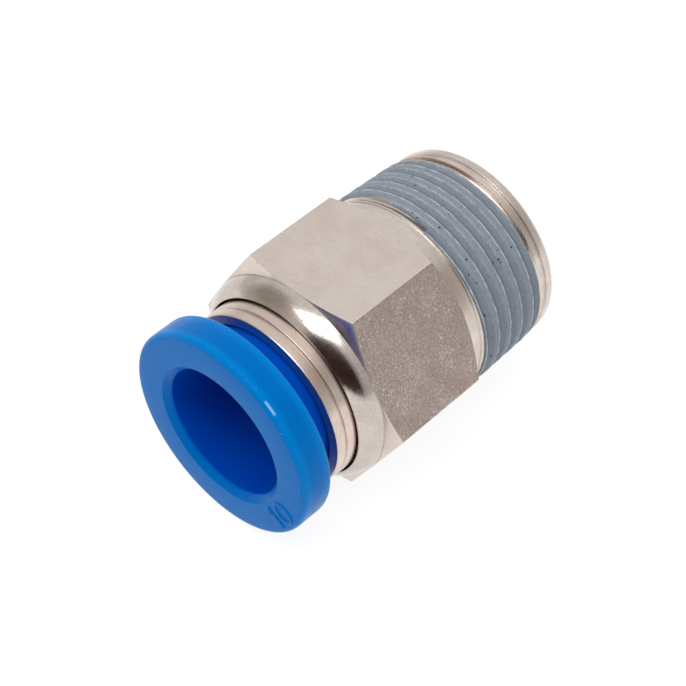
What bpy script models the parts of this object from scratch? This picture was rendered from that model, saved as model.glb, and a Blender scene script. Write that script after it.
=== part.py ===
"""Push-to-connect fitting: 10 mm tube to R3/8 male taper thread, 17 mm hexagon.

Run with Blender 4.5. Metres, +Z up. The tube axis is parallel to Y: the tube enters from -Y and the
thread points to +Y. The fitting lies on a hexagon flat at Z = 0, and the origin is the bottom centre
of its box. The dimensions below are in millimetres. A station is a distance along the tube axis,
counted from the front face of the release ring towards the thread.
"""

from math import cos, pi, radians, sin

import bmesh
import bpy
from mathutils import Vector

MM = 0.001
SEGMENTS = 48  # round a full turn, a multiple of 12
ARC_STEPS = 4
WELD = 1e-6

# Overall
LENGTH = 27.0
ACROSS_FLATS = 17.0
AXIS_HEIGHT = ACROSS_FLATS / 2
CORNER_R = ACROSS_FLATS / 2 / cos(pi / 6)
PRESS_GAP = 0.06  # between pressed or resting pieces

# Release ring
FLANGE_R = 8.4
FLANGE_THICK = 2.7
FLANGE_FRONT_ROUND = 0.4
FLANGE_REAR_ROUND = 0.4
RELEASE_BORE_R = 5.25
RELEASE_LIP = 0.5
SLEEVE_R = 6.2
SNAP_R = 6.62
SNAP_START = 8.06
SNAP_LENGTH = 0.5
NOSE_START = 9.3
NOSE_END = 10.9
NOSE_TIP_R = 5.55
NOSE_EDGE = 0.1
RELEASE_TRAVEL = 1.4
RELEASE_STOP_GAP = 0.38  # left between the pushed-in flange and the guide ring

# Guide ring
GUIDE_FRONT = FLANGE_THICK + RELEASE_TRAVEL + RELEASE_STOP_GAP
GUIDE_FRONT_R = 7.24
GUIDE_GROOVE = 5.3
GUIDE_GROOVE_WIDTH = 0.12
GUIDE_GROOVE_DEPTH = 0.12
GUIDE_REAR_R = 7.28
GUIDE_PRESSED = 7.0  # from here to its end it is pressed into the body
GUIDE_TAPER = 0.4
GUIDE_EDGE = 0.12
GUIDE_BORE_R = 6.36
GUIDE_SHOULDER = 8.0
GUIDE_RELIEF_R = 6.8
GUIDE_END = 10.44

# Claw ring and its fingers
RIM_INNER_R = 6.72
RIM_OUTER_R = 7.34
RIM_START = 10.5
RIM_THICK = 0.25
FINGERS = 12
FINGER_ROOT_R = 6.6
FINGER_ROOT = 10.66
FINGER_LENGTH = 2.64
FINGER_THICK = 0.25
FINGER_ROOT_WIDTH = 2.8
FINGER_TIP_WIDTH = 2.1
FINGER_TIP_BEVEL = 0.12
FINGER_SLOPE = radians(42.4)  # inwards from the axis direction, at rest

# Back ring
BACK_START = 10.9
BACK_END = 14.4
BACK_OUTER_R = 7.34
BACK_MOUTH_R = 6.98
BACK_THROAT_R = 5.95
BACK_THROAT = 13.3
BACK_BORE_R = 5.12
BACK_EDGE = 0.2

# Tube seal (O-ring)
SEAL_SECTION_R = 0.95
SEAL_CENTRE_R = 5.82
SEAL_STATION = 15.56
SEAL_STEPS = 10

# Body
HOUSING_R = 7.4  # counterbore that holds guide ring, claws and back ring
HOUSING_END = 14.46
SEAL_GROOVE_R = 6.85
SEAL_GROOVE_END = 16.66
TUBE_SEAT_R = 5.08
TUBE_STOP = 20.0
FLOW_R = 4.0
BODY_FRONT = 6.3
BODY_FRONT_R = 7.56
BODY_FRONT_ROUND = 0.16
DOME_END = 7.93
DOME_BULGE = 0.17
HEX_FRONT = 8.36
HEX_REAR = 16.5
WASHER_START = 17.4
WASHER_R = 8.46
WASHER_END = 18.15
WASHER_CHAMFER = 0.1
NECK_R = 8.2
BORE_CHAMFER = 0.4

# Thread: R3/8, right-handed, 19 per inch, taper 1 in 16 on the diameter
PITCH = 25.4 / 19
TAPER = 1 / 32
GAUGE_STATION = LENGTH - 6.35
GAUGE_R = 16.662 / 2
THREAD_DEPTH = 0.856
THREAD_PHASES = (0.0, 0.40, 0.60)  # root, then both ends of the crest, in turns
THREAD_TURN = 0.55  # where round the axis the helix starts, in turns from +X towards +Z
THREAD_START = 18.75
THREAD_END = 25.5
RUNOUT = 1.1  # over which the thread rises from the neck
END_GROOVE_LIP = 25.56
END_GROOVE_LIP_R = 8.18
END_GROOVE = 25.62  # a shallow groove between the thread and a plain land at its small end
END_GROOVE_WIDTH = 0.53
END_GROOVE_R = 8.05
LAND_START = 26.2
LAND_R = 8.2
LAND_END = 26.8
LAND_END_R = 8.12
END_R = 8.0

# Sealant coat
COAT_END = 25.45
COAT_GAP = 0.03
COAT_OVER_CREST = 0.11
COAT_RIDGE = 0.3
COAT_START_R = 8.3


def clear_scene():
    """Removes whatever the scene holds."""
    for obj in list(bpy.data.objects):
        bpy.data.objects.remove(obj, do_unlink=True)


def material(name, colour, metallic, roughness):
    """A Principled BSDF material."""
    made = bpy.data.materials.new(name)
    made.use_nodes = True
    shader = made.node_tree.nodes["Principled BSDF"]
    shader.inputs["Base Color"].default_value = (*colour, 1.0)
    shader.inputs["Metallic"].default_value = metallic
    shader.inputs["Roughness"].default_value = roughness
    made.diffuse_color = (*colour, 1.0)
    return made


def world_point(radius, angle, station):
    """The point at a radius and angle round the tube axis, at a station along it."""
    x = radius * cos(angle)
    y = station - LENGTH / 2
    z = AXIS_HEIGHT + radius * sin(angle)
    return Vector((x, y, z)) * MM


def axis_point(station):
    return world_point(0, 0, station)


def add_object(name, bm, made, parent, origin=None):
    """Turns the bmesh, in world coordinates, into an object with its own origin."""
    if origin is None:
        origin = axis_point(0)
    bmesh.ops.translate(bm, verts=bm.verts, vec=-origin)
    bmesh.ops.recalc_face_normals(bm, faces=bm.faces)
    mesh = bpy.data.meshes.new(name)
    bm.to_mesh(mesh)
    bm.free()
    mesh.materials.append(made)
    mesh.shade_smooth()
    mesh.set_sharp_from_angle(angle=radians(30))
    obj = bpy.data.objects.new(name, mesh)
    bpy.context.scene.collection.objects.link(obj)
    obj.location = origin
    if parent:
        obj.parent = parent
        obj.matrix_parent_inverse = parent.matrix_world.inverted()
    return obj


def empty(name, location, parent=None):
    """An empty on a joint's axis, as the parent of what turns or slides there."""
    obj = bpy.data.objects.new(name, None)
    obj.empty_display_size = 2 * MM
    bpy.context.scene.collection.objects.link(obj)
    obj.location = location
    if parent:
        obj.parent = parent
        obj.matrix_parent_inverse = parent.matrix_world.inverted()
    bpy.context.view_layer.update()
    return obj


def arc(centre_r, centre_s, radius, start_deg, end_deg, steps=ARC_STEPS):
    """Points of a circular arc in the (radius, station) plane; 0 degrees points outwards."""
    points = []
    for step in range(steps + 1):
        angle = radians(start_deg + (end_deg - start_deg) * step / steps)
        points.append((centre_r + radius * cos(angle), centre_s + radius * sin(angle)))
    return points


def turned(profile_at, segments=SEGMENTS):
    """A closed surface round the tube axis. profile_at(angle) gives the closed outline, as
    (radius, station) pairs, and the same number of them at every angle."""
    bm = bmesh.new()
    columns = []
    for index in range(segments + 1):
        angle = 2 * pi * index / segments
        columns.append([bm.verts.new(world_point(r, angle, s)) for r, s in profile_at(angle)])
    for left, right in zip(columns, columns[1:]):
        for row, a in enumerate(left):
            b = left[row - 1]
            c = right[row - 1]
            d = right[row]
            bm.faces.new((a, b, c))
            bm.faces.new((a, c, d))
    bmesh.ops.remove_doubles(bm, verts=bm.verts, dist=WELD)
    return bm


def release_ring_profile(_angle):
    """Flange with a round rim, sleeve with a snap ridge, and a nose that spreads the claws."""
    front = FLANGE_FRONT_ROUND
    rear = FLANGE_REAR_ROUND
    outline = [(RELEASE_BORE_R + RELEASE_LIP, 0)]
    outline += arc(FLANGE_R - front, front, front, -90, 0)
    outline += arc(FLANGE_R - rear, FLANGE_THICK - rear, rear, 0, 90, 2)
    outline += [
        (SLEEVE_R, FLANGE_THICK),
        (SLEEVE_R, SNAP_START),
        (SNAP_R, SNAP_START),
        (SNAP_R, SNAP_START + SNAP_LENGTH / 3),
        (SLEEVE_R, SNAP_START + SNAP_LENGTH),
        (SLEEVE_R, NOSE_START),
        (NOSE_TIP_R, NOSE_END),
        (RELEASE_BORE_R + NOSE_EDGE, NOSE_END),
        (RELEASE_BORE_R, NOSE_END - 2 * NOSE_EDGE),
        (RELEASE_BORE_R, RELEASE_LIP),
    ]
    return outline


def guide_ring_profile(_angle):
    """Ring with a fine groove outside, and a shoulder inside that holds the snap ridge."""
    groove_r = GUIDE_FRONT_R - GUIDE_GROOVE_DEPTH
    return [
        (GUIDE_BORE_R + GUIDE_EDGE, GUIDE_FRONT),
        (GUIDE_FRONT_R - GUIDE_EDGE, GUIDE_FRONT),
        (GUIDE_FRONT_R, GUIDE_FRONT + GUIDE_EDGE),
        (GUIDE_FRONT_R, GUIDE_GROOVE),
        (groove_r, GUIDE_GROOVE + GUIDE_GROOVE_WIDTH / 2),
        (GUIDE_REAR_R, GUIDE_GROOVE + GUIDE_GROOVE_WIDTH),
        (GUIDE_REAR_R, GUIDE_PRESSED - GUIDE_TAPER),
        (HOUSING_R - PRESS_GAP, GUIDE_PRESSED),
        (HOUSING_R - PRESS_GAP, GUIDE_END),
        (GUIDE_RELIEF_R, GUIDE_END),
        (GUIDE_RELIEF_R, GUIDE_SHOULDER),
        (GUIDE_BORE_R, GUIDE_SHOULDER),
        (GUIDE_BORE_R, GUIDE_FRONT + GUIDE_EDGE),
    ]


def claw_rim_profile(_angle):
    """Flat washer that the fingers spring from."""
    return [
        (RIM_INNER_R, RIM_START),
        (RIM_OUTER_R, RIM_START),
        (RIM_OUTER_R, RIM_START + RIM_THICK),
        (RIM_INNER_R, RIM_START + RIM_THICK),
    ]


def back_ring_profile(_angle):
    """Ring with a conical mouth, which leaves the claws room to open."""
    return [
        (BACK_MOUTH_R, BACK_START),
        (BACK_OUTER_R, BACK_START),
        (BACK_OUTER_R, BACK_END),
        (BACK_BORE_R + BACK_EDGE, BACK_END),
        (BACK_BORE_R, BACK_END - BACK_EDGE),
        (BACK_BORE_R, BACK_THROAT + BACK_EDGE),
        (BACK_BORE_R + BACK_EDGE, BACK_THROAT),
        (BACK_THROAT_R, BACK_THROAT),
    ]


def seal_profile(_angle):
    """Round section of the O-ring."""
    return arc(SEAL_CENTRE_R, SEAL_STATION, SEAL_SECTION_R, 0, 360 - 360 / SEAL_STEPS, SEAL_STEPS - 1)


def hexagon_radius(angle):
    """Distance from the axis to the hexagon's side, with flats at the top and the bottom."""
    from_flat = (angle + pi / 3) % (pi / 3) - pi / 6
    return ACROSS_FLATS / 2 / cos(from_flat)


def corner_share(angle):
    """0 in the middle of a flat and 1 at a corner."""
    return (hexagon_radius(angle) - ACROSS_FLATS / 2) / (CORNER_R - ACROSS_FLATS / 2)


def helix_turn(angle):
    """How far the right-handed helix has come forward at this angle, in turns."""
    return angle / (2 * pi) - THREAD_TURN


def helix_rows(angle, first, last):
    """Stations of the rows that follow the helix at this angle, held between two stations."""
    rows = []
    turns = int((last - first) / PITCH) + 4
    for turn in range(turns):
        for phase in THREAD_PHASES:
            station = first + (turn - 1 + phase - helix_turn(angle)) * PITCH
            rows.append(min(max(station, first), last))
    return rows


def thread_height(angle, station):
    """0 at the thread's root and 1 at its crest."""
    _root, crest_start, crest_end = THREAD_PHASES
    phase = ((station - THREAD_START) / PITCH + helix_turn(angle)) % 1.0
    if phase < crest_start:
        return phase / crest_start
    if phase <= crest_end:
        return 1.0
    return (1.0 - phase) / (1.0 - crest_end)


def crest_r(station):
    return GAUGE_R + (GAUGE_STATION - station) * TAPER


def thread_r(angle, station):
    """Radius of the bare thread, with its run-out at the neck."""
    full = crest_r(station) - THREAD_DEPTH * (1 - thread_height(angle, station))
    share = min((station - THREAD_START) / RUNOUT, 1.0)
    return NECK_R + (full - NECK_R) * share


def coat_r(angle, station):
    """Radius of the sealant's outer surface: low ridges over the thread's crests."""
    crest = crest_r(station) + COAT_OVER_CREST
    full = crest - COAT_RIDGE * (1 - thread_height(angle, station))
    share = min((station - THREAD_START) / (RUNOUT / 2), 1.0)
    return COAT_START_R + (full - COAT_START_R) * share


def body_profile(angle):
    """Domed front, hexagon with turned corners, washer face, neck, thread and stepped bore."""
    share = corner_share(angle)
    side_r = hexagon_radius(angle)
    flat_r = ACROSS_FLATS / 2
    front_edge = (BODY_FRONT_R - BODY_FRONT_ROUND, BODY_FRONT)
    dome_middle = ((BODY_FRONT_R + flat_r) / 2 + DOME_BULGE, (BODY_FRONT + DOME_END) / 2 - DOME_BULGE)
    outline = [
        (HOUSING_R, BODY_FRONT + BODY_FRONT_ROUND),
        front_edge,
        (BODY_FRONT_R, BODY_FRONT),
        dome_middle,
        (flat_r, DOME_END),
        (side_r, DOME_END + (HEX_FRONT - DOME_END) * share),
        (side_r, WASHER_START - (WASHER_START - HEX_REAR) * share),
        (flat_r, WASHER_START),
        (WASHER_R, WASHER_START),
        (WASHER_R, WASHER_END - WASHER_CHAMFER),
        (WASHER_R - WASHER_CHAMFER, WASHER_END),
        (NECK_R, WASHER_END),
    ]
    outline += [(thread_r(angle, s), s) for s in helix_rows(angle, THREAD_START, THREAD_END)]
    outline += [
        (END_GROOVE_LIP_R, END_GROOVE_LIP),
        (END_GROOVE_R, END_GROOVE),
        (END_GROOVE_R, END_GROOVE + END_GROOVE_WIDTH),
        (LAND_R, LAND_START),
        (LAND_END_R, LAND_END),
        (END_R, LENGTH),
        (FLOW_R + BORE_CHAMFER, LENGTH),
        (FLOW_R, LENGTH - BORE_CHAMFER),
        (FLOW_R, TUBE_STOP),
        (TUBE_SEAT_R, TUBE_STOP),
        (TUBE_SEAT_R, SEAL_GROOVE_END),
        (SEAL_GROOVE_R, SEAL_GROOVE_END),
        (SEAL_GROOVE_R, HOUSING_END),
        (HOUSING_R, HOUSING_END),
    ]
    return outline


def coat_profile(angle):
    """Shell on the thread: the outer surface out, and the inner one back."""
    rows = helix_rows(angle, THREAD_START, COAT_END)
    outer = [(coat_r(angle, s), s) for s in rows]
    inner = [(thread_r(angle, s) + COAT_GAP, s) for s in reversed(rows)]
    return outer + inner


def finger_mesh(angle):
    """One claw finger: a plate that narrows towards a bevelled tip, sloping in from the rim."""
    along = (-sin(FINGER_SLOPE), cos(FINGER_SLOPE))
    outward = (cos(FINGER_SLOPE), sin(FINGER_SLOPE))
    half = FINGER_THICK / 2
    tangent = Vector((-sin(angle), 0, cos(angle))) * MM
    sections = (
        (0, -half, half, FINGER_ROOT_WIDTH),
        (FINGER_LENGTH - FINGER_TIP_BEVEL, -half, half, FINGER_TIP_WIDTH),
        (FINGER_LENGTH, -half, 0, FINGER_TIP_WIDTH),
    )
    bm = bmesh.new()
    loops = []
    for distance, low, high, width in sections:
        loop = []
        for offset, side in ((low, -1), (low, 1), (high, 1), (high, -1)):
            radius = FINGER_ROOT_R + along[0] * distance + outward[0] * offset
            station = FINGER_ROOT + along[1] * distance + outward[1] * offset
            middle = world_point(radius, angle, station)
            loop.append(bm.verts.new(middle + tangent * side * width / 2))
        loops.append(loop)
    for first, second in zip(loops, loops[1:]):
        for index in range(4):
            bm.faces.new((first[index - 1], first[index], second[index], second[index - 1]))
    bm.faces.new(loops[0])
    bm.faces.new(reversed(loops[-1]))
    return bm


def build():
    clear_scene()
    nickel = material("nickel_plated_brass", (0.62, 0.57, 0.51), 1.0, 0.28)
    guide_nickel = material("guide_nickel", (0.60, 0.54, 0.47), 1.0, 0.32)
    blue = material("blue_acetal", (0.01, 0.17, 0.58), 0.0, 0.38)
    grey = material("sealant", (0.23, 0.28, 0.34), 0.0, 0.75)
    steel = material("stainless_spring", (0.55, 0.55, 0.56), 1.0, 0.3)
    brass = material("plain_brass", (0.72, 0.55, 0.25), 1.0, 0.35)
    rubber = material("nitrile_rubber", (0.02, 0.02, 0.02), 0.0, 0.6)

    body = add_object("body", turned(body_profile), nickel, None)
    bpy.context.view_layer.update()
    add_object("thread_sealant", turned(coat_profile), grey, body)
    add_object("guide_ring", turned(guide_ring_profile), guide_nickel, body)
    add_object("back_ring", turned(back_ring_profile), brass, body)
    add_object("tube_seal", turned(seal_profile), rubber, body)

    claw_axis = empty("claw_axis", axis_point(RIM_START), body)
    add_object("claw_ring", turned(claw_rim_profile), steel, claw_axis, axis_point(RIM_START))
    add_object("release_ring", turned(release_ring_profile), blue, claw_axis, axis_point(0))
    for index in range(FINGERS):
        angle = 2 * pi * index / FINGERS
        root = world_point(FINGER_ROOT_R, angle, FINGER_ROOT)
        name = f"claw_finger_{index + 1:02d}"
        add_object(name, finger_mesh(angle), steel, claw_axis, root)


build()
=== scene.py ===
"""Looks of a push-to-connect fitting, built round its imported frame.

The tube axis is parallel to Y, with the release ring at -Y and the thread at +Y. Lengths are in
millimetres and become metres in world_point. A station is a distance along the tube axis, counted from
the release ring's front face towards the thread. An angle runs round the axis from +X towards +Z.
"""

from math import atan2, cos, pi, radians, sin, sqrt, tan

import bmesh
import bpy
from mathutils import Matrix, Vector, noise


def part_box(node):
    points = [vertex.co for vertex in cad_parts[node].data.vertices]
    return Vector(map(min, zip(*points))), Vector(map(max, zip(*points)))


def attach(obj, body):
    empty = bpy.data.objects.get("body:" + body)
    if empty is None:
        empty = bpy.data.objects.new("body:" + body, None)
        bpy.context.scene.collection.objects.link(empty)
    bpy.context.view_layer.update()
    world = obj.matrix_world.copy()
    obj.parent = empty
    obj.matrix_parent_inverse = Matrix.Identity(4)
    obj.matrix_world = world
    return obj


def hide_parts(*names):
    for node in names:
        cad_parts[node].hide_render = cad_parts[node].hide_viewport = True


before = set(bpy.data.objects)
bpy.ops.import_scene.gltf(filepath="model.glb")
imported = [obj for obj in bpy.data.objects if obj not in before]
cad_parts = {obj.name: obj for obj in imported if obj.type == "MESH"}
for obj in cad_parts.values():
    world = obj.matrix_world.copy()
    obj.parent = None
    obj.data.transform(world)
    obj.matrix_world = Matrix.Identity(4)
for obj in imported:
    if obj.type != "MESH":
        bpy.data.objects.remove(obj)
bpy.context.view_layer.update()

MM = 0.001


# ---- Sizes read from the frame ----

def node_radius(node):
    """The radius of a round CAD node, from its height."""
    low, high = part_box(node)
    return (high.z - low.z) / 2 / MM


def node_start(node):
    return (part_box(node)[0].y - FRONT_Y) / MM


def node_end(node):
    return (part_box(node)[1].y - FRONT_Y) / MM


FRONT_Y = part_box("release_ring")[0].y
AXIS_Z = (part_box("release_ring")[0].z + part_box("release_ring")[1].z) / 2
LENGTH = node_end("body")
APOTHEM = node_radius("body")
FLANGE_R = node_radius("release_ring")
RELEASE_END = node_end("release_ring")
GUIDE_START = node_start("guide_ring")
GUIDE_END = node_end("guide_ring")
PRESSED_R = node_radius("guide_ring")
BODY_START = node_start("body")
COAT_START = node_start("thread_sealant")
COAT_END = node_end("thread_sealant")
RIM_START = node_start("claw_ring")
RIM_END = node_end("claw_ring")
BACK_START = node_start("back_ring")
BACK_END = node_end("back_ring")
SEAL_START = node_start("tube_seal")
SEAL_END = node_end("tube_seal")
SEAL_R = node_radius("tube_seal")

# ---- Sizes that the frame doesn't give, the same as in the CAD part ----

PRESS_GAP = 0.06
FLANGE_THICK = 2.7
RELEASE_BORE_R = 5.25
RELEASE_LIP = 0.5
SLEEVE_R = 6.2
SNAP_R = 6.62
SNAP_START = 8.06
SNAP_LENGTH = 0.5
NOSE_START = 9.3
NOSE_TIP_R = 5.55
GUIDE_FRONT_R = 7.24
GUIDE_REAR_R = 7.28
GUIDE_GROOVE = 5.3
GUIDE_BORE_R = 6.36
GUIDE_SHOULDER = 8.0
GUIDE_RELIEF_R = 6.8
RIM_INNER_R = 6.72
BACK_MOUTH_R = 6.98
BACK_THROAT_R = 5.95
BACK_THROAT = 13.3
BACK_BORE_R = 5.12
HOUSING_R = PRESSED_R + PRESS_GAP
HOUSING_END = 14.46
SEAL_GROOVE_R = 6.85
SEAL_GROOVE_END = 16.66
TUBE_SEAT_R = 5.08
TUBE_STOP = 20.0
FLOW_R = 4.0
BORE_CHAMFER = 0.4
BODY_FRONT_R = 7.56
DOME_END = 7.93
HEX_REAR = 16.5
WASHER_START = 17.4
WASHER_END = 18.15
WASHER_R = 8.46
NECK_R = 8.2
PITCH = 25.4 / 19
TAPER = 1 / 32
GAUGE_STATION = LENGTH - 6.35
GAUGE_R = 16.662 / 2
THREAD_DEPTH = 0.856
THREAD_TURN = 0.55
THREAD_END = 25.5
RUNOUT = 1.1
END_GROOVE = 25.62
END_GROOVE_WIDTH = 0.53
END_GROOVE_R = 8.05
END_GROOVE_LIP_R = 8.18
LAND_START = 26.2
LAND_R = 8.2
LAND_END = 26.8
LAND_END_R = 8.12
END_R = 8.0
FINGERS = 12

# ---- Sizes of the finer shape, which only this model has ----

DOME_ROUND = 2.6
HEX_FRONT = 8.42  # where the hexagon's corners start, behind the dome
COAT_OVER_CREST = 0.10
COAT_HOLLOW = 0.16

# ---- How finely the shapes are divided ----

FINE = 216  # columns round a fine turned surface
FLANGE_COLUMNS = 240
INNER_COLUMNS = 120  # for the rings inside
ROUND_STEPS = 28  # points round the seal's section and the digit 0
FILLET_STEPS = 5
FILLET_SHARE = 0.45  # the most of an edge that one fillet takes
WELD = 1e-7
TINY = 1e-6
SHARP_ANGLE = radians(50)
FACE_WEIGHT = 80  # how much more large faces count than small ones


# ---- Geometry helpers ----

def world_point(radius, angle, station):
    """The world point, in metres, at a radius and angle round the axis, at a station along it."""
    x = radius * cos(angle) * MM
    y = FRONT_Y + station * MM
    z = AXIS_Z + radius * sin(angle) * MM
    return Vector((x, y, z))


def even_angles(count=FINE):
    return [2 * pi * index / count for index in range(count + 1)]


def filleted(corners):
    """A closed outline with rounded corners. Each corner is (radius, station, fillet size)."""
    points = []
    for index, (radius, station, size) in enumerate(corners):
        here = Vector((radius, station))
        if size == 0:
            points.append(here)
            continue
        back = Vector(corners[index - 1][:2]) - here
        onward = Vector(corners[(index + 1) % len(corners)][:2]) - here
        shortest = min(back.length, onward.length)
        if shortest < TINY:
            points += [here] * (FILLET_STEPS + 1)
            continue
        half = back.angle(onward) / 2
        cut = min(size / max(tan(half), TINY), FILLET_SHARE * shortest)
        first = here + back.normalized() * cut
        last = here + onward.normalized() * cut
        for step in range(FILLET_STEPS + 1):
            t = step / FILLET_STEPS
            points.append(first * (1 - t) ** 2 + here * 2 * t * (1 - t) + last * t * t)
    return points


def arc_between(start, end, radius, steps=10):
    """Points of the arc that bulges outwards from start to end, both ends left out."""
    start = Vector(start)
    end = Vector(end)
    chord = end - start
    middle = (start + end) / 2
    inwards = Vector((-chord.y, chord.x)).normalized()
    centre = middle + inwards * sqrt(radius ** 2 - (chord.length / 2) ** 2)
    first = atan2(start.y - centre.y, start.x - centre.x)
    turn = atan2(end.y - centre.y, end.x - centre.x) - first
    points = []
    for step in range(1, steps):
        angle = first + turn * step / steps
        points.append(centre + Vector((cos(angle), sin(angle))) * radius)
    return points


def turned(name, profile_at, angles, finish_at=None):
    """A mesh object turned round the tube axis. profile_at(angle) gives a closed outline with the same
    number of points at every angle. finish_at(angle, station, radius) gives a face's material index."""
    columns = [profile_at(angle) for angle in angles]
    rows = len(columns[0])
    points = []
    for angle, column in zip(angles, columns):
        points += [world_point(p[0], angle, p[1]) for p in column]
    faces = []
    for left in range(len(columns) - 1):
        for row in range(rows):
            a = left * rows + row
            b = left * rows + (row - 1) % rows
            faces.append((a, b, b + rows, a + rows))
    mesh = bpy.data.meshes.new(name)
    mesh.from_pydata(points, [], faces)
    bm = bmesh.new()
    bm.from_mesh(mesh)
    bmesh.ops.remove_doubles(bm, verts=bm.verts, dist=WELD)
    bmesh.ops.recalc_face_normals(bm, faces=bm.faces)
    if finish_at:
        for face in bm.faces:
            middle = face.calc_center_median()
            radius = sqrt(middle.x ** 2 + (middle.z - AXIS_Z) ** 2) / MM
            angle = atan2(middle.z - AXIS_Z, middle.x) % (2 * pi)
            face.material_index = finish_at(angle, (middle.y - FRONT_Y) / MM, radius)
    bm.to_mesh(mesh)
    bm.free()
    return placed(name, mesh)


def placed(name, mesh):
    """A smooth-shaded object whose large faces keep their own normals."""
    mesh.shade_smooth()
    mesh.set_sharp_from_angle(angle=SHARP_ANGLE)
    obj = bpy.data.objects.new(name, mesh)
    bpy.context.scene.collection.objects.link(obj)
    weighted = obj.modifiers.new("flat_faces", "WEIGHTED_NORMAL")
    weighted.keep_sharp = True
    weighted.weight = FACE_WEIGHT
    return obj


def rides(obj, body, slot, finishes, *nodes):
    """Attaches the piece to its body and gives it its materials, and hides the CAD nodes that it stands
    for. The slot is not used.
    """
    for finish in finishes:
        obj.data.materials.append(finish)
    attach(obj, body)
    if nodes:
        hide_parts(*nodes)


# ---- Materials ----

MIX_FACTOR, MIX_A, MIX_B, MIX_RESULT = 0, 6, 7, 2  # the sockets of a colour mix node


class Finish:
    """A Principled material being made, with short names for its nodes. Coordinates are in mm."""

    def __init__(self, name, **constants):
        self.material = bpy.data.materials.new(name)
        self.material.use_nodes = True
        self.tree = self.material.node_tree
        self.shader = self.tree.nodes["Principled BSDF"]
        for key, value in constants.items():
            self.shader.inputs[key.replace("_", " ")].default_value = value
        metres = self.tree.nodes.new("ShaderNodeTexCoord").outputs["Object"]
        self.mm = self.stretch(metres, (1 / MM,) * 3)

    def make(self, kind, values, **settings):
        """A node with its settings, and its inputs fed from sockets or constants."""
        made = self.tree.nodes.new(kind)
        for key, value in settings.items():
            setattr(made, key, value)
        for key, value in values.items():
            if isinstance(value, bpy.types.NodeSocket):
                self.tree.links.new(value, made.inputs[key])
            else:
                made.inputs[key].default_value = value
        return made

    def stretch(self, vector, scale, turn=(0, 0, 0)):
        """The vector turned by three angles and scaled."""
        values = {"Vector": vector, "Scale": scale, "Rotation": turn}
        return self.make("ShaderNodeMapping", values).outputs["Vector"]

    def noise(self, scale, detail=3, vector=None, rough=0.55):
        """Noise from 0 to 1, with the scale in waves per mm."""
        values = {"Vector": vector or self.mm, "Scale": scale, "Detail": detail, "Roughness": rough}
        return self.make("ShaderNodeTexNoise", values).outputs["Fac"]

    def cells(self, scale):
        """Distance to the nearest of many scattered points."""
        values = {"Vector": self.mm, "Scale": scale}
        return self.make("ShaderNodeTexVoronoi", values).outputs["Distance"]

    def ramp(self, value, start, end, low=0.0, high=1.0):
        """Goes smoothly from low to high while the value goes from start to end."""
        values = {"Value": value, "From Min": start, "From Max": end, "To Min": low, "To Max": high}
        made = self.make("ShaderNodeMapRange", values, interpolation_type="SMOOTHSTEP")
        return made.outputs["Result"]

    def math(self, operation, a, b=0.0):
        return self.make("ShaderNodeMath", {0: a, 1: b}, operation=operation).outputs[0]

    def times(self, a, b):
        return self.math("MULTIPLY", a, b)

    def apart(self, a, b):
        """The distance between two values."""
        return self.math("ABSOLUTE", self.math("SUBTRACT", a, b))

    def rings(self, scale):
        """Noise that changes along the tube axis only, like turning marks."""
        _, y, _ = self.axes()
        values = {"W": y, "Scale": scale}
        return self.make("ShaderNodeTexNoise", values, noise_dimensions="1D").outputs["Fac"]

    def mix(self, factor, a, b):
        """Colour a where the factor is 0 and b where it is 1."""
        made = self.tree.nodes.new("ShaderNodeMix")
        made.data_type = "RGBA"
        for socket, value in ((MIX_FACTOR, factor), (MIX_A, a), (MIX_B, b)):
            if isinstance(value, bpy.types.NodeSocket):
                self.tree.links.new(value, made.inputs[socket])
            else:
                made.inputs[socket].default_value = value if socket == MIX_FACTOR else (*value, 1)
        return made.outputs[MIX_RESULT]

    def axes(self):
        """The x, y and z sockets of the place in mm."""
        made = self.make("ShaderNodeSeparateXYZ", {"Vector": self.mm})
        return made.outputs[0], made.outputs[1], made.outputs[2]

    def across(self):
        """Where the place is seen along the tube axis: right and up of it, in mm."""
        x, _, z = self.axes()
        return x, self.math("SUBTRACT", z, AXIS_Z / MM)

    def around(self):
        """The angle round the tube axis, in radians, from -pi to pi."""
        right, up = self.across()
        return self.math("ARCTAN2", up, right)

    def radius(self):
        right, up = self.across()
        arm = self.make("ShaderNodeCombineXYZ", {"X": right, "Y": up}).outputs[0]
        return self.make("ShaderNodeVectorMath", {0: arm}, operation="LENGTH").outputs["Value"]

    def station(self):
        _, y, _ = self.axes()
        return self.math("SUBTRACT", y, FRONT_Y / MM)

    def attribute(self, name):
        return self.make("ShaderNodeAttribute", {}, attribute_name=name).outputs["Fac"]

    def paint(self, colour, roughness):
        self.tree.links.new(colour, self.shader.inputs["Base Color"])
        self.tree.links.new(roughness, self.shader.inputs["Roughness"])

    def bump(self, *layers):
        """Bump layers as (height socket, depth in mm), each on top of the one before."""
        normal = None
        for height, depth in layers:
            values = {"Height": height, "Distance": depth * MM, "Strength": 1.0}
            if normal:
                values["Normal"] = normal
            normal = self.make("ShaderNodeBump", values).outputs["Normal"]
        self.tree.links.new(normal, self.shader.inputs["Normal"])


def scratch_lines(finish, turn, scale, amount):
    """Thin light lines: noise drawn out along one direction, shown only in patches."""
    vector = finish.stretch(finish.mm, scale, turn)
    lines = finish.ramp(finish.noise(1.0, 1, vector), 0.64, 0.70)
    patches = finish.ramp(finish.noise(0.45, 2), 0.45, 0.62)
    return finish.times(finish.times(lines, patches), amount)


# The colour of the painted glint specks, light spots in the nickel's base colour that stand for sparkle
PAINTED_GLINT = (0.97, 0.90, 0.85)
SCRATCH = (0.97, 0.90, 0.84)
STAIN_TINT = (0.95, 0.82, 0.66)
PIT = (0.06, 0.035, 0.03)
PITS = 0.6  # how dark the pits are


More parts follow.
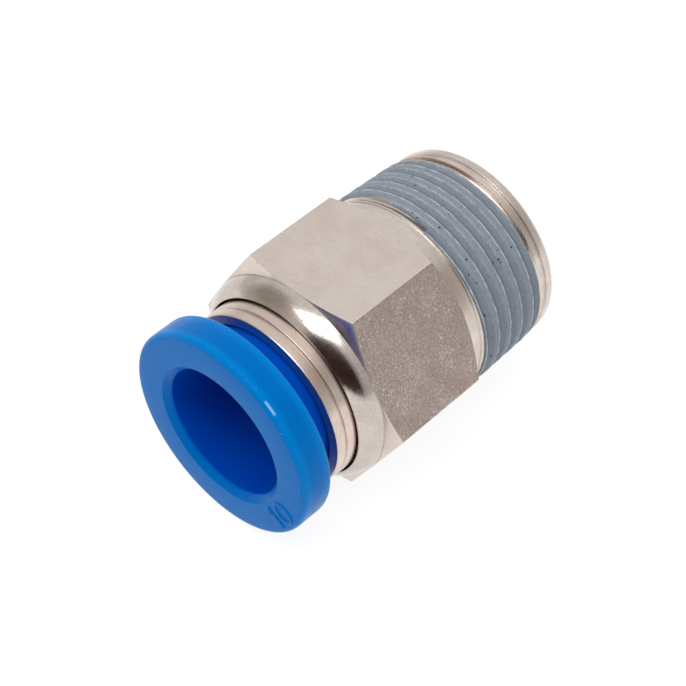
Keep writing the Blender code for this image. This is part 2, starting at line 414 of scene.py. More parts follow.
NICKELS = {  # light and dark colour, roughness, then amounts: grain, painted glint specks, scratches, turning marks
    "nickel_flat": ((0.74, 0.645, 0.585), (0.67, 0.575, 0.515), 0.30, 0.1, 0.12, 0.3, 0.0),
    "nickel_grainy_flat": ((0.535, 0.435, 0.395), (0.46, 0.37, 0.335), 0.36, 0.6, 0.6, 0.7, 0.0),
    "nickel_polished": ((0.66, 0.59, 0.54), (0.57, 0.50, 0.455), 0.15, 0.25, 0.1, 0.15, 0.3),
    "nickel_turned": ((0.76, 0.675, 0.62), (0.64, 0.56, 0.50), 0.26, 0.15, 0.05, 0.1, 0.8),
    "nickel_bore": ((0.55, 0.49, 0.42), (0.45, 0.39, 0.33), 0.25, 0.2, 0.0, 0.0, 1.0),
    "guide_nickel": ((0.74, 0.62, 0.55), (0.65, 0.535, 0.465), 0.27, 0.1, 0.05, 0.1, 0.5),
}


def nickel(name):
    """Nickel plating: faint warm mottling, dark grain, painted light glint specks, scratches, stains
    and pits.
    """
    light, dark, roughness, grain, painted_glint_amount, scratches, rings = NICKELS[name]
    finish = Finish(name, Metallic=1.0)
    mottle = finish.ramp(finish.noise(0.32, 5, rough=0.62), 0.36, 0.66)
    colour = finish.mix(mottle, dark, light)
    speck_noise = finish.noise(6.5, 4, rough=0.75)
    specks = finish.ramp(speck_noise, 0.38, 0.60)
    dark_grain = finish.times(finish.math("SUBTRACT", 1.0, specks), grain)
    colour = finish.mix(dark_grain, colour, tuple(c / 2 for c in dark))
    # Painted glint specks: light spots mixed into the base colour as highlights
    painted_glints = finish.ramp(finish.noise(5.0, 2, rough=0.7), 0.62, 0.72, high=painted_glint_amount)
    colour = finish.mix(painted_glints, colour, PAINTED_GLINT)
    across = scratch_lines(finish, (0.2, 0.5, 0.9), (0.35, 9, 9), scratches)
    along = scratch_lines(finish, (0.9, 0.3, -0.5), (0.4, 10, 8), scratches)
    lines = finish.math("MAXIMUM", across, along)
    colour = finish.mix(lines, colour, SCRATCH)
    stains = finish.ramp(finish.noise(0.9, 4, rough=0.7), 0.66, 0.78, high=0.35)
    colour = finish.mix(stains, colour, tuple(c * k for c, k in zip(dark, STAIN_TINT)))
    pits = finish.ramp(finish.cells(0.62), 0.022, 0.04, PITS, 0.0)
    colour = finish.mix(pits, colour, PIT)
    rough = finish.math("ADD", finish.ramp(mottle, 0, 1, 0.03, -0.03), roughness)
    rough = finish.math("ADD", rough, finish.times(specks, 0.12 * grain))
    layers = [(finish.noise(0.8, 3), 0.005), (speck_noise, 0.012 * grain), (lines, -0.004)]
    if rings:
        layers.append((finish.rings(11.0), 0.012 * rings))
    finish.paint(colour, rough)
    finish.bump(*layers)
    return finish.material


# Where the painted glint sits on the flange's front edge
PAINTED_GLINT_ANGLE = radians(53)
PAINTED_GLINT_STATION = 0.3


def acetal():
    """Moulded blue acetal: satin, with a painted highlight on the rim's round edges, painted shade
    inside the bore, on the flange's rear face and on the sleeve, small nicks, and one painted glint on
    the front edge."""
    finish = Finish("blue_acetal", Metallic=0.0, IOR=1.48, Specular_IOR_Level=0.11)
    finish.shader.inputs["Specular Tint"].default_value = (0.1, 0.55, 1.0, 1.0)
    radius = finish.radius()
    station = finish.station()
    colour = finish.mix(finish.noise(0.25, 3), (0.0, 0.142, 0.49), (0.0, 0.162, 0.545))
    # Painted highlight: the base colour is paler on the flange's round front and back edges, where
    # light catches them
    rim = finish.ramp(radius, FLANGE_R - 0.35, FLANGE_R - 0.1)
    from_middle = finish.apart(station, FLANGE_THICK / 2)
    edge = finish.ramp(from_middle, FLANGE_THICK / 2 - 0.95, FLANGE_THICK / 2 - 0.35, high=0.8)
    colour = finish.mix(finish.times(rim, edge), colour, (0.0, 0.215, 0.62))
    # Painted shade: a deeper blue inside the bore, on the flange's rear face and on the sleeve, where
    # less light reaches
    bore = finish.times(finish.ramp(station, 0.25, 0.7), finish.ramp(radius, 6.7, 7.0, 1.0, 0.0))
    behind = finish.ramp(station, FLANGE_THICK - 0.1, FLANGE_THICK - 0.01)
    colour = finish.mix(finish.math("MAXIMUM", bore, behind), colour, (0.0, 0.074, 0.52))
    front = finish.ramp(station, 0.25, 0.6, 1.0, 0.0)
    nicks = finish.ramp(finish.noise(3.0, 4, rough=0.75), 0.63, 0.70)
    nicks = finish.times(nicks, finish.times(rim, front))
    # marks: the real nicks, and the painted glint, both lightened towards a pale blue
    marks = finish.math("MAXIMUM", painted_glint_on(finish, rim, station), finish.times(nicks, 0.5))
    colour = finish.mix(marks, colour, (0.30, 0.55, 0.88))
    rough = finish.ramp(finish.noise(1.3, 3), 0.3, 0.7, 0.28, 0.38)
    finish.paint(colour, rough)
    finish.bump((finish.noise(0.6, 2), 0.012), (finish.noise(14.0, 2), 0.001), (nicks, -0.015))
    return finish.material


def painted_glint_on(finish, rim, station):
    """A painted glint: a light patch on the flange's front edge, where a lamp's reflection falls."""
    beside = finish.ramp(finish.apart(finish.around(), PAINTED_GLINT_ANGLE), 0.05, 0.08, 1.0, 0.0)
    along = finish.ramp(finish.apart(station, PAINTED_GLINT_STATION), 0.05, 0.12, 0.8, 0.0)
    return finish.times(finish.times(beside, along), rim)


STREAK_STRETCH = 0.35  # below 1 it draws the streaks out round the coat


def sealant():
    """Dried thread sealant: slate grey and granular, with painted shade that is darkest just behind
    each lip and fades towards the next, a painted highlight along each lip, and small dark holes.
    """
    finish = Finish("thread_sealant", Metallic=0.0, Specular_IOR_Level=0.3)
    _, y, _ = finish.axes()
    slow_arc = finish.times(finish.around(), GAUGE_R * STREAK_STRETCH)
    streak_place = finish.make("ShaderNodeCombineXYZ", {"X": slow_arc, "Y": y}).outputs[0]
    streaks = finish.ramp(finish.noise(3.4, 4, streak_place, 0.7), 0.3, 0.7)
    # hollow is the darker colour of the painted shade, land the unshaded colour that it fades to
    hollow = finish.mix(streaks, (0.118, 0.143, 0.178), (0.158, 0.187, 0.227))
    torn = finish.ramp(finish.noise(4.5, 4, rough=0.75), 0.35, 0.62)
    land = finish.mix(torn, (0.212, 0.247, 0.292), (0.262, 0.300, 0.348))
    # Painted shade: the hollow colour just behind each lip, fading to the land colour before the next
    # one
    colour = finish.mix(finish.attribute("shade"), hollow, land)
    # Painted highlight: each raised lip is coloured light, the front ones on the upper side only
    lip = finish.times(finish.attribute("lip"), finish.ramp(torn, 0, 1, 0.6, 1.0))
    colour = finish.mix(lip, colour, (0.66, 0.72, 0.78))
    size = finish.ramp(finish.noise(0.7, 2), 0.45, 0.7, high=0.06)
    holes = finish.ramp(finish.math("SUBTRACT", finish.cells(1.15), size), 0.045, 0.08, 1.0, 0.0)
    colour = finish.mix(holes, colour, (0.03, 0.035, 0.05))
    finish.paint(colour, finish.ramp(streaks, 0, 1, 0.62, 0.85))
    grains = finish.noise(9.0, 4, rough=0.7)
    finish.bump((streaks, 0.02), (grains, 0.03), (holes, -0.06))
    return finish.material


def steel():
    """Stamped stainless strip with fine rolling lines."""
    finish = Finish("stainless_spring", Metallic=1.0)
    lines = finish.noise(1.0, 3, finish.stretch(finish.mm, (14, 1.2, 14)))
    colour = finish.mix(lines, (0.50, 0.49, 0.48), (0.68, 0.67, 0.65))
    finish.paint(colour, finish.ramp(lines, 0.3, 0.7, 0.22, 0.36))
    finish.bump((lines, 0.004))
    return finish.material


def brass():
    """Plain turned brass with ring marks."""
    finish = Finish("plain_brass", Metallic=1.0)
    tone = finish.noise(0.7, 4)
    colour = finish.mix(tone, (0.60, 0.43, 0.17), (0.80, 0.62, 0.30))
    finish.paint(colour, finish.ramp(tone, 0.3, 0.7, 0.25, 0.38))
    finish.bump((finish.rings(12.0), 0.01))
    return finish.material


def rubber():
    """Black nitrile rubber, slightly shiny with grease."""
    finish = Finish("nitrile_rubber", Metallic=0.0)
    patches = finish.noise(1.2, 3)
    colour = finish.mix(patches, (0.012, 0.012, 0.013), (0.028, 0.028, 0.03))
    finish.paint(colour, finish.ramp(patches, 0.35, 0.65, 0.28, 0.55))
    finish.bump((finish.noise(5.0, 3), 0.006))
    return finish.material


# ---- Body ----

CORNER_ROUND = 0.16
CORNER_STEPS = 3
FLAT_STEPS = 24
SIXTH = pi / 3
CORNER_R = APOTHEM / cos(SIXTH / 2)
ROUND_CENTRE_R = (APOTHEM - CORNER_ROUND) / cos(SIXTH / 2)
ROUND_EDGE = (ROUND_CENTRE_R + CORNER_ROUND * cos(SIXTH / 2), CORNER_ROUND * sin(SIXTH / 2))
ROUND_REACH = atan2(ROUND_EDGE[1], ROUND_EDGE[0])  # angle from a corner to the end of its round
MOUTH_WIDTH = 0.06
MOUTH_DEPTH = 0.14
HOUSING_START = BODY_START + 0.5
HAIR = 0.02  # a step too small to see
NECK_START = WASHER_END + 0.06
NECK_END = COAT_START - 0.12
THREAD_LEAD_R = 8.27  # the small edge where the neck meets the thread
THREAD_LEAD = COAT_START - 0.04
THREAD_PHASES = [step / 10 for step in range(10)]
CREST_POWER = 0.8  # below 1 it widens the crests
BODY_FINISHES = ("nickel_flat", "nickel_grainy_flat", "nickel_polished", "nickel_turned", "nickel_bore")
SATIN, GRAINY, DOME, TURNED, BORE = range(len(BODY_FINISHES))
GRAINY_SIDES = (0, 2, 3)  # counted from +X towards +Z


def hexagon_radius(angle):
    """Distance from the axis to the hexagon's side, with small rounds at its six corners."""
    from_corner = abs((angle + SIXTH / 2) % SIXTH - SIXTH / 2)
    if from_corner < ROUND_REACH:
        along = ROUND_CENTRE_R * cos(from_corner)
        return along + sqrt(CORNER_ROUND ** 2 - (ROUND_CENTRE_R * sin(from_corner)) ** 2)
    return APOTHEM / cos(SIXTH / 2 - from_corner)


def hexagon_angles():
    """Columns for the body: even ones on the flats, and close ones round the corners."""
    close = [ROUND_REACH * step / CORNER_STEPS for step in range(CORNER_STEPS + 1)]
    span = SIXTH - 2 * ROUND_REACH
    angles = []
    for corner in range(6):
        start = corner * SIXTH
        angles += [start + offset for offset in close]
        angles += [start + ROUND_REACH + span * step / FLAT_STEPS for step in range(1, FLAT_STEPS)]
        angles += [start + SIXTH - offset for offset in reversed(close[1:])]
    return angles + [2 * pi]


def crest_r(station):
    return GAUGE_R + (GAUGE_STATION - station) * TAPER


def thread_phase(angle, station):
    """0 at the thread's root, 0.5 at the middle of its crest. The thread is right-handed."""
    return ((station - COAT_START) / PITCH + angle / (2 * pi) - THREAD_TURN) % 1.0


def thread_height(phase):
    """0 at the root and 1 at the crest of a thread form with round root and crest."""
    return 0.5 - 0.5 * cos(2 * pi * phase)


def helix_rows(angle, first, last, phases):
    """Stations that follow the helix round at the given phases, held between two stations."""
    rows = []
    for turn in range(int((last - first) / PITCH) + 4):
        for phase in phases:
            station = first + (turn - 1 + phase - angle / (2 * pi) + THREAD_TURN) * PITCH
            rows.append(min(max(station, first), last))
    return rows


def bare_thread_r(angle, station):
    """Radius of the metal thread, with its run-out at the neck."""
    height = thread_height(thread_phase(angle, station))
    full = crest_r(station) - THREAD_DEPTH * (1 - height ** CREST_POWER)
    share = min(max((station - COAT_START) / RUNOUT, 0), 1)
    return THREAD_LEAD_R + (full - THREAD_LEAD_R) * share


def body_front():
    """The mouth of the housing, the front edge and the dome."""
    edge = (BODY_FRONT_R + HAIR, BODY_START + HAIR)
    outline = filleted(
        [
            (HOUSING_R, BODY_START + MOUTH_DEPTH, 0.05),
            (HOUSING_R + MOUTH_WIDTH, BODY_START, 0.04),
            (BODY_FRONT_R, BODY_START, 0.05),
            (*edge, 0),
        ]
    )
    return outline + arc_between(edge, (APOTHEM - HAIR, DOME_END), DOME_ROUND)


def body_sides(angle):
    """The hexagon with its turned corners, the washer face and the neck."""
    side = hexagon_radius(angle)
    share = (side - APOTHEM) / (CORNER_R - APOTHEM)
    return filleted(
        [
            (APOTHEM - HAIR, DOME_END, 0),
            (APOTHEM, DOME_END, 0),
            (side, DOME_END + (HEX_FRONT - DOME_END) * share, 0.05),
            (side, WASHER_START - (WASHER_START - HEX_REAR) * share, 0.06),
            (APOTHEM, WASHER_START, 0.05),
            (WASHER_R, WASHER_START + 0.03, 0),
            (WASHER_R, WASHER_END, 0.09),
            (NECK_R + HAIR, NECK_START, 0.07),
            (NECK_R, NECK_END, 0.05),
            (THREAD_LEAD_R, THREAD_LEAD, 0.03),
        ]
    )


def body_inside():
    """The groove and the land at the thread's end, and back through the stepped bore."""
    return filleted(
        [
            (END_GROOVE_LIP_R, THREAD_END + 0.05, 0),
            (END_GROOVE_R, END_GROOVE, 0.03),
            (END_GROOVE_R, END_GROOVE + END_GROOVE_WIDTH, 0.03),
            (LAND_R, LAND_START, 0.05),
            (LAND_END_R, LAND_END, 0.05),
            (END_R, LENGTH, 0.06),
            (FLOW_R + BORE_CHAMFER, LENGTH, 0.06),
            (FLOW_R, LENGTH - BORE_CHAMFER, 0.1),
            (FLOW_R, TUBE_STOP, 0.1),
            (TUBE_SEAT_R, TUBE_STOP, 0.15),
            (TUBE_SEAT_R, SEAL_GROOVE_END, 0.12),
            (SEAL_GROOVE_R, SEAL_GROOVE_END, 0.1),
            (SEAL_GROOVE_R, HOUSING_END, 0.05),
            (HOUSING_R, HOUSING_END, 0.1),
            (HOUSING_R, HOUSING_START, 0),
        ]
    )


def body_profile(angle):
    rows = helix_rows(angle, COAT_START, THREAD_END, THREAD_PHASES)
    thread = [Vector((bare_thread_r(angle, s), s)) for s in rows]
    return body_front() + body_sides(angle) + thread + body_inside()


def body_finish_at(angle, station, radius):
    """The finish of a face. The hexagon's front corners are satin, and all from its rear corners to the
    thread's end is turned."""
    if station > WASHER_END:
        return TURNED if radius > NECK_R - THREAD_DEPTH else BORE
    if radius < HOUSING_R + MOUTH_WIDTH / 2:
        return BORE
    if radius > hexagon_radius(angle) - HAIR and DOME_END < station < WASHER_START:
        return GRAINY if int(angle / SIXTH) in GRAINY_SIDES else SATIN
    if station > HEX_REAR:
        return TURNED
    return SATIN if station > DOME_END else DOME


def make_body():
    body = turned("body_shell", body_profile, hexagon_angles(), body_finish_at)
    finishes = [nickel(name) for name in BODY_FINISHES]
    rides(body, "fitting_body", "nickel_plated_brass", finishes, "body")


# ---- Sealant coat ----

COAT_COLUMNS = 480
STEP_ANGLE = radians(75.5)  # where the coat's front edge steps
FRONT_DRIFT = 0.72  # how far the front edge moves back in a turn
FRONT_RETURN = 0.22  # and how much of that it gives back at the turn's end
RETURN_FROM = 0.9
BACK_ANGLE = radians(-30)  # where the back edge is furthest back
BACK_PEAK = 0.45  # the share of a turn after which it is furthest forward
BACK_DRIFT = 0.62
FRONT_RISE = 0.35  # the lengths over which the coat rises and falls at its edges
BACK_FALL = 0.18
COAT_GAP = 0.03
THINNEST = 0.02
LAND_HALF = 0.25  # half of a land's width, in pitches
BACK_SLOPE = 0.05  # widths of a land's slopes, in pitches
FRONT_SLOPE = 0.16
BACK_TEAR = 0.03  # how ragged a land's edges are, in pitches
FRONT_TEAR = 0.012
LIP_HALF = 0.075  # half of a lip's width, in pitches
LIP_INSET = 0.03
LIP_HEIGHT = 0.04
FRONT_LIP = 0.6
SHADE_LENGTH = 0.55  # the painted shade's length, in pitches
BOWL = 0.03
CROWN = 0.02
LAND_PHASES = (0, 0.05, 0.1, 0.15, 0.19, 0.22, 0.24, 0.26, 0.28, 0.30, 0.33, 0.37, 0.43)
COAT_PHASES = LAND_PHASES + tuple(1 - phase for phase in reversed(LAND_PHASES[1:]))
INNER_PHASES = [step / 8 for step in range(8)]


def smooth(value):
    """A smooth step from 0 to 1, level on both sides."""
    share = min(max(value, 0), 1)
    return share * share * (3 - 2 * share)


def wander(angle, seed, scale):
    """Smooth noise round the axis, about -1 to 1."""
    return noise.noise(Vector((cos(angle) * scale, sin(angle) * scale, seed)))


def ragged(angle, station, seed, fine):
    """Noise over the coat's surface: fine is in waves per mm."""
    place = Vector((cos(angle), sin(angle), 0)) * GAUGE_R * fine
    place.z = station * fine + seed
    return noise.noise(place)


def coat_first(angle):
    """Station of the coat's front edge: it follows the helix and steps back where it began."""
    turn = ((STEP_ANGLE - angle) / (2 * pi)) % 1.0
    returned = FRONT_RETURN * max(turn - RETURN_FROM, 0) / (1 - RETURN_FROM)
    start = COAT_START + 0.06 + FRONT_DRIFT * turn - returned
    return start + 0.04 * wander(angle, seed=3.1, scale=6.0)


def coat_last(angle):
    """Station of the coat's back edge, which follows the helix too."""
    turn = ((angle - BACK_ANGLE) / (2 * pi)) % 1.0
    early = BACK_DRIFT * min(turn / BACK_PEAK, (1 - turn) / (1 - BACK_PEAK))
    return COAT_END + 0.02 - early + 0.03 * wander(angle, seed=7.7, scale=8.0)


def land_edge(angle, station):
    """Distance of a land's torn edge from its middle, in pitches."""
    tear = BACK_TEAR if thread_phase(angle, station) > 0.5 else FRONT_TEAR
    return LAND_HALF + tear * ragged(angle, station * 0.2, seed=2.3, fine=2.2)


def land_share(angle, station):
    """1 on a land over a crest and 0 in the hollow between two, steeper behind."""
    phase = thread_phase(angle, station)
    slope = BACK_SLOPE if phase > 0.5 else FRONT_SLOPE
    return 1 - smooth((abs(phase - 0.5) - land_edge(angle, station)) / slope + 0.5)


def lip_height(angle, station):
    """A thin raised lip along a land's edges, in mm. The front one shows on the upper side only."""
    phase = thread_phase(angle, station)
    from_edge = (abs(phase - 0.5) - land_edge(angle, station) + LIP_INSET) / LIP_HALF
    height = LIP_HEIGHT * max(0.0, 1 - abs(from_edge))
    if phase <= 0.5:
        height *= FRONT_LIP * max(0.0, sin(angle)) ** 3
    return height * min(1.0, max(0.3, 0.8 + ragged(angle, station, seed=9.1, fine=1.6)))


def shade(angle, station):
    """Painted shade: 0, darkest, just behind a land's lip, rising to 1, unshaded, before the next lip.
    """
    since = (thread_phase(angle, station) - 0.5 - land_edge(angle, station)) % 1.0
    return smooth(since / SHADE_LENGTH)


def coat_full_r(angle, station):
    """Radius of the coat away from its two edges: lands with a low crown, and hollows between."""
    phase = thread_phase(angle, station)
    hollow = 1 - land_share(angle, station)
    crown = CROWN * max(0.0, 1 - abs(phase - 0.5) / LAND_HALF)
    dip = (COAT_HOLLOW + BOWL * cos(2 * pi * phase)) * hollow
    grain = 0.012 * ragged(angle, station, seed=4.2, fine=3.0)
    swell = 0.01 * ragged(angle, station, seed=1.7, fine=0.9)
    level = crest_r(station) + COAT_OVER_CREST + crown - dip
    return level + lip_height(angle, station) + grain + swell


def coat_outer_r(angle, station):
    """Radius of the coat, which thins out to nothing at its front edge and by half at its back one."""
    rise = min(max((station - coat_first(angle)) / FRONT_RISE, 0), 1) ** 0.5
    fall = min(max((coat_last(angle) - station) / BACK_FALL, 0), 1) ** 0.5
    under = max(bare_thread_r(angle, station), NECK_R - 0.1) + COAT_GAP
    thick = max(coat_full_r(angle, station) - under, THINNEST)
    return under + thick * rise * (1 + fall) / 2


def held(rows, angle):
    """The rows' stations, held between the coat's two edges."""
    first = coat_first(angle)
    last = coat_last(angle)
    return [min(max(station, first), last) for station in rows]


def coat_profile(angle):
    rows = held(helix_rows(angle, COAT_START, COAT_END, COAT_PHASES), angle)
    inner_rows = held(helix_rows(angle, COAT_START, COAT_END, INNER_PHASES), angle)
    outer = [Vector((coat_outer_r(angle, s), s)) for s in rows]
    inner = [Vector((bare_thread_r(angle, s) + 0.01, s)) for s in reversed(inner_rows)]
    return outer + inner


def store_shades(obj):
    """The painted shade and the painted highlight along each lip, as the two attributes that the finish
    reads.
    """
    mesh = obj.data
    shades = mesh.attributes.new("shade", "FLOAT", "POINT")
    lip_highlights = mesh.attributes.new("lip", "FLOAT", "POINT")
    for index, vertex in enumerate(mesh.vertices):
        angle = atan2(vertex.co.z - AXIS_Z, vertex.co.x) % (2 * pi)
        station = (vertex.co.y - FRONT_Y) / MM
        shades.data[index].value = shade(angle, station)
        # Each lip's raised height, kept as the painted highlight that the finish reads
        lip_highlights.data[index].value = lip_height(angle, station) / LIP_HEIGHT


def make_coat():
    coat = turned("thread_sealant_coat", coat_profile, even_angles(COAT_COLUMNS))
    store_shades(coat)
    rides(coat, "fitting_body", "thread_sealant", [sealant()], "thread_sealant")


# ---- Guide ring, back ring, seal and claw rim ----

GUIDE_GROOVE_R = GUIDE_FRONT_R - 0.13


def guide_profile(_angle):
    return filleted(
        [
            (GUIDE_BORE_R, GUIDE_START, 0.12),
            (GUIDE_FRONT_R, GUIDE_START, 0.14),
            (GUIDE_FRONT_R, GUIDE_GROOVE - 0.05, 0.05),
            (GUIDE_GROOVE_R, GUIDE_GROOVE + 0.01, 0.02),
            (GUIDE_GROOVE_R, GUIDE_GROOVE + 0.12, 0.02),
            (GUIDE_REAR_R, GUIDE_GROOVE + 0.19, 0.08),
            (GUIDE_REAR_R, BODY_START + 0.5, 0.1),
            (PRESSED_R, BODY_START + 0.9, 0.1),
            (PRESSED_R, GUIDE_END, 0.08),
            (GUIDE_RELIEF_R, GUIDE_END, 0.05),
            (GUIDE_RELIEF_R, GUIDE_SHOULDER, 0.05),
            (GUIDE_BORE_R, GUIDE_SHOULDER, 0.05),
        ]
    )


def back_profile(_angle):
    return filleted(
        [
            (BACK_MOUTH_R, BACK_START, 0.06),
            (PRESSED_R, BACK_START, 0.08),
            (PRESSED_R, BACK_END, 0.08),
            (BACK_BORE_R, BACK_END, 0.2),
            (BACK_BORE_R, BACK_THROAT, 0.2),
            (BACK_THROAT_R, BACK_THROAT, 0.08),
        ]
    )


def seal_profile(_angle):
    section = (SEAL_END - SEAL_START) / 2
    centre_r = SEAL_R - section
    centre = (SEAL_START + SEAL_END) / 2
    turns = even_angles(ROUND_STEPS)[:-1]
    return [Vector((centre_r + section * cos(t), centre + section * sin(t))) for t in turns]


def rim_profile(_angle):
    return filleted(
        [
            (RIM_INNER_R, RIM_START, 0.04),
            (PRESSED_R, RIM_START, 0.06),
            (PRESSED_R, RIM_END, 0.06),
            (RIM_INNER_R, RIM_END, 0.04),
        ]
    )


def make_inner_rings(strip):
    guide = turned("guide_ring_shell", guide_profile, even_angles())
    rides(guide, "fitting_body", "guide_nickel", [nickel("guide_nickel")], "guide_ring")
    back = turned("back_ring_turned", back_profile, even_angles(INNER_COLUMNS))
    rides(back, "fitting_body", "plain_brass", [brass()], "back_ring")
    seal = turned("tube_seal_ring", seal_profile, even_angles(INNER_COLUMNS))
    rides(seal, "fitting_body", "nitrile_rubber", [rubber()], "tube_seal")
    rim = turned("claw_rim", rim_profile, even_angles(INNER_COLUMNS))
    rides(rim, "claw_carrier", "stainless_spring", [strip], "claw_ring")


# ---- Claw fingers ----

FINGER_BEVEL = 0.04


def make_fingers(strip):
    """The CAD plates keep their shape and get a softened edge and the strip's finish."""
    for index in range(FINGERS):
        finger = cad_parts[f"claw_finger_{index + 1:02d}"]
        finger.data.materials.clear()
        finger.data.materials.append(strip)
        edge = finger.modifiers.new("stamped_edge", "BEVEL")
        edge.width = FINGER_BEVEL * MM
        edge.segments = 2
        edge.limit_method = "ANGLE"


# ---- Release ring ----

MARK_R = 7.0
MARK_ANGLE = radians(-32.3)
MARK_HALF = 0.875  # half of the digits' height
MARK_STROKE = 0.18
MARK_RELIEF = 0.10
STROKE_STEPS = 4
ONE_STEM = -0.72  # places to the right of the mark's middle
ONE_FLAG = -1.08
ONE_FLAG_DROP = 0.38
ZERO_MIDDLE = 0.55
ZERO_HALF_WIDTH = 0.6


def release_profile(_angle):
    return filleted(
        [
            (RELEASE_BORE_R + RELEASE_LIP, 0.0, 0.1),
            (FLANGE_R, 0.0, 0.45),
            (FLANGE_R, FLANGE_THICK, 0.4),
            (SLEEVE_R, FLANGE_THICK, 0.25),
            (SLEEVE_R, SNAP_START, 0.05),
            (SNAP_R, SNAP_START, 0.05),
            (SNAP_R, SNAP_START + 0.2, 0.08),
            (SLEEVE_R, SNAP_START + SNAP_LENGTH, 0.1),
            (SLEEVE_R, NOSE_START, 0.3),
            (NOSE_TIP_R, RELEASE_END, 0.12),
            (RELEASE_BORE_R, RELEASE_END, 0.1),
            (RELEASE_BORE_R, RELEASE_LIP, 0.12),
        ]
    )


def stroke(name, points, closed):
    """A raised stroke of the size mark. Points are (right, up) in mm from the mark's middle; the tops
    of the digits point to the bore."""
    curve = bpy.data.curves.new(name, "CURVE")
    curve.dimensions = "3D"
    curve.bevel_depth = MARK_STROKE * MM
    curve.bevel_resolution = STROKE_STEPS
    curve.use_fill_caps = True
    spline = curve.splines.new("POLY")
    spline.points.add(len(points) - 1)
    spline.use_cyclic_u = closed
    outward = Vector((cos(MARK_ANGLE), 0, sin(MARK_ANGLE)))
    rightward = Vector((-sin(MARK_ANGLE), 0, cos(MARK_ANGLE)))
    middle = world_point(MARK_R, MARK_ANGLE, MARK_STROKE - MARK_RELIEF)
    for index, (right, up) in enumerate(points):
        place = middle + rightward * right * MM - outward * up * MM
        spline.points[index].co = (*place, 1)
    return bpy.data.objects.new(name, curve)


def make_size_mark(finish):
    """The tube size, 10, as plain raised digits."""
    one = [(ONE_FLAG, MARK_HALF - ONE_FLAG_DROP), (ONE_STEM, MARK_HALF), (ONE_STEM, -MARK_HALF)]
    turns = even_angles(ROUND_STEPS)[:-1]
    zero = [(ZERO_MIDDLE + ZERO_HALF_WIDTH * cos(t), MARK_HALF * sin(t)) for t in turns]
    for name, points, closed in (("size_mark_one", one, False), ("size_mark_zero", zero, True)):
        obj = stroke(name, points, closed)
        bpy.context.scene.collection.objects.link(obj)
        rides(obj, "release_button", "blue_acetal", [finish])


def make_release_ring():
    finish = acetal()
    ring = turned("release_ring_moulding", release_profile, even_angles(FLANGE_COLUMNS))
    rides(ring, "release_button", "blue_acetal", [finish], "release_ring")
    make_size_mark(finish)


# ---- Floor, light and camera ----

AZIMUTH = radians(43.26)
ELEVATION = radians(46.93)
LENS = 98.45
TARGET = (-8.69, -6.52, 131.11)  # middle of the front face from the camera: right, up, ahead, in mm
KEY_CENTRE = (24.6, 70.5)  # azimuth and elevation in degrees
KEY_START = (-9, 54)
KEY_END = (92, 66)
KEY_DISTANCE = 0.45
KEY_SIZE = (0.44, 0.23)
KEY_POWER = 1.0
FLOOR_HALF = 3.0
FLOOR_GREY = 0.17
FLOOR_GLOW = 0.89
BRIGHT_SIDE = (-0.25, 0.05, 1.0)
ROOM_DIM = 0.58
ROOM_BRIGHT = 0.88
CLIP_START = 0.01
ROOM_SHAPES = (  # azimuth, elevation, inner and outer radius in degrees, colour
    (36, 14, 33, 45, (0.045, 0.02, 0.018)),
    (-60, 34, 0, 36, (0.40, 0.36, 0.32)),
    (130, 34, 0, 24, (0.40, 0.35, 0.32)),
)


def floor_material():
    """White paper, lit so evenly that shadows on it are faint."""
    made = bpy.data.materials.new("floor")
    made.use_nodes = True
    shader = made.node_tree.nodes["Principled BSDF"]
    shader.inputs["Base Color"].default_value = (FLOOR_GREY, FLOOR_GREY, FLOOR_GREY, 1)
    shader.inputs["Roughness"].default_value = 0.8
    shader.inputs["Specular IOR Level"].default_value = 0.0
    shader.inputs["Emission Color"].default_value = (1, 1, 1, 1)
    shader.inputs["Emission Strength"].default_value = FLOOR_GLOW
    return made


def make_floor():
    mesh = bpy.data.meshes.new("floor")
    half = FLOOR_HALF
    corners = [(-half, -half, 0), (half, -half, 0), (half, half, 0), (-half, half, 0)]
    mesh.from_pydata([Vector(c) for c in corners], [], [(0, 1, 2, 3)])
    mesh.materials.append(floor_material())
    floor = bpy.data.objects.new("floor", mesh)
    bpy.context.scene.collection.objects.link(floor)


def toward(azimuth, elevation):
    """Unit vector: azimuth in degrees from the front, -Y, towards +X, and elevation above the floor."""
    turn = radians(azimuth)
    rise = radians(elevation)
    return Vector((sin(turn) * cos(rise), -cos(turn) * cos(rise), sin(rise)))


def make_softbox():
    """A long rectangular light above the front, which faces the fitting."""
    back = toward(*KEY_CENTRE)
    side = toward(*KEY_END) - toward(*KEY_START)
    side = (side - back * back.dot(side)).normalized()
    light = bpy.data.lights.new("key_softbox", "AREA")
    light.shape = "RECTANGLE"
    light.size, light.size_y = KEY_SIZE
    light.energy = KEY_POWER
    obj = bpy.data.objects.new("key_softbox", light)
    turn = Matrix((side, back.cross(side), back)).transposed()
    obj.matrix_world = Matrix.Translation(back * KEY_DISTANCE) @ turn.to_4x4()
    bpy.context.scene.collection.objects.link(obj)


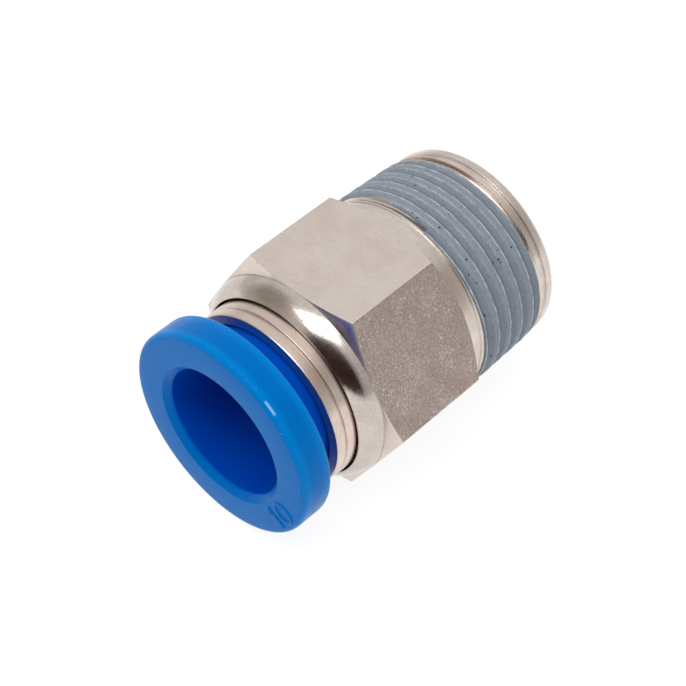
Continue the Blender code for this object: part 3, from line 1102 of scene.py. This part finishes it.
def make_room():
    """A pale room, brighter above and at the left, with soft dark shapes for the metal to mirror."""
    world = bpy.data.worlds.new("studio")
    bpy.context.scene.world = world
    world.use_nodes = True
    tree = world.node_tree
    direction = tree.nodes.new("ShaderNodeTexCoord").outputs["Generated"]

    def facing(vector, low, high, to_low=0.0, to_high=1.0):
        """Goes smoothly from to_low to to_high as the direction turns towards the vector."""
        dot = tree.nodes.new("ShaderNodeVectorMath")
        dot.operation = "DOT_PRODUCT"
        tree.links.new(direction, dot.inputs[0])
        dot.inputs[1].default_value = vector
        ramp = tree.nodes.new("ShaderNodeMapRange")
        ramp.interpolation_type = "SMOOTHSTEP"
        tree.links.new(dot.outputs["Value"], ramp.inputs["Value"])
        ramp.inputs["From Min"].default_value = low
        ramp.inputs["From Max"].default_value = high
        ramp.inputs["To Min"].default_value = to_low
        ramp.inputs["To Max"].default_value = to_high
        return ramp.outputs["Result"]

    colour = facing(BRIGHT_SIDE, -0.1, 1.0, ROOM_DIM, ROOM_BRIGHT)
    for azimuth, elevation, inner, outer, tint in ROOM_SHAPES:
        mix = tree.nodes.new("ShaderNodeMix")
        mix.data_type = "RGBA"
        share = facing(toward(azimuth, elevation), cos(radians(outer)), cos(radians(inner)))
        tree.links.new(share, mix.inputs[MIX_FACTOR])
        tree.links.new(colour, mix.inputs[MIX_A])
        mix.inputs[MIX_B].default_value = (*tint, 1)
        colour = mix.outputs[MIX_RESULT]
    tree.links.new(colour, tree.nodes["Background"].inputs["Color"])


def make_camera():
    """The camera sees the fitting from above and in front, on the right."""
    right = Vector((cos(AZIMUTH), sin(AZIMUTH), 0))
    away = Vector((-sin(AZIMUTH), cos(AZIMUTH), 0))
    forward = away * cos(ELEVATION) - Vector((0, 0, sin(ELEVATION)))
    up = right.cross(forward)
    ahead = world_point(0, 0, 0)
    data = bpy.data.cameras.new("camera")
    data.lens = LENS
    data.clip_start = CLIP_START
    camera = bpy.data.objects.new("camera", data)
    across, rise, distance = TARGET
    camera.location = ahead - (right * across + up * rise + forward * distance) * MM
    camera.rotation_mode = "QUATERNION"
    camera.rotation_quaternion = forward.to_track_quat("-Z", "Y")
    bpy.context.scene.collection.objects.link(camera)
    bpy.context.scene.camera = camera


make_camera()
make_body()
make_coat()
strip_finish = steel()
make_inner_rings(strip_finish)
make_fingers(strip_finish)
make_release_ring()
make_floor()
make_softbox()
make_room()
bpy.context.scene.view_settings.view_transform = "Standard"
